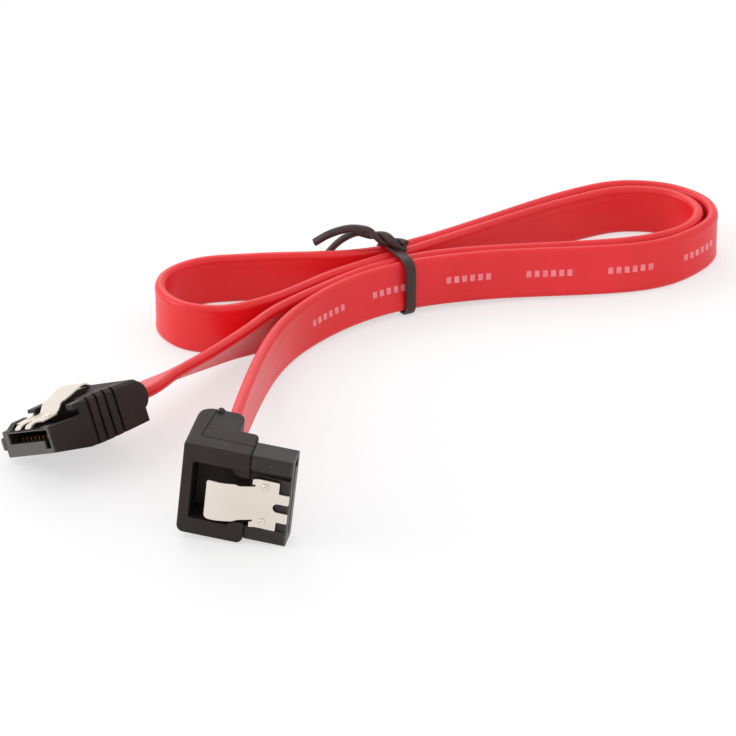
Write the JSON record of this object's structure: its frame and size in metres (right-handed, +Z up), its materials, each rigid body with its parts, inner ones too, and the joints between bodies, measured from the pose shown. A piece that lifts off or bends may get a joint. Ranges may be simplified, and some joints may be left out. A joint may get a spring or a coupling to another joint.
{
  "type": "sata data cable",
  "caption": "Flat red data cable with a straight latching plug on one end and a right-angle latching plug on the other, folded and held by a twist tie.",
  "frame": {"origin": "on the floor, under the middle of the box round the two plugs", "axes": "+Z up from the floor, +X along the folded cable from its left loop to its right loops, +Y from the plugs towards the folded cable"},
  "size_m": [0.1136, 0.1127, 0.0167],
  "materials": {
    "shell": "fine matt",
    "boot": "fine matt",
    "latch": "satin",
    "contact": "plated",
    "jacket": "satin",
    "tie": "satin"
  },
  "bodies": {
    "cable": {"flat_cable": "jacket", "twist_tie": "tie", "straight_housing": "shell", "straight_overmould": "boot", "straight_contact_1": "contact", "straight_contact_2": "contact", "straight_contact_3": "contact", "straight_contact_4": "contact", "straight_contact_5": "contact", "straight_contact_6": "contact", "straight_contact_7": "contact", "angle_housing": "shell", "angle_overmould": "boot", "angle_contact_1": "contact", "angle_contact_2": "contact", "angle_contact_3": "contact", "angle_contact_4": "contact", "angle_contact_5": "contact", "angle_contact_6": "contact", "angle_contact_7": "contact"},
    "straight_release": {"straight_latch": "latch"},
    "angle_release": {"angle_latch": "latch"}
  },
  "joints": [
    {"name": "straight_latch_press", "type": "hinge", "parent": "cable", "child": "straight_release", "pos_m": [-0.01856, 0.00415, 0.00687], "axis": [-0.5403, 0.7155, -0.443], "range_deg": [0, 5], "stiffness_Nm_per_rad": 0.05},
    {"name": "angle_latch_press", "type": "hinge", "parent": "cable", "child": "angle_release", "pos_m": [0.02094, -0.01859, 0.00661], "axis": [-0.1077, 0.0656, -0.992], "range_deg": [0, 5], "stiffness_Nm_per_rad": 0.05}
  ]
}
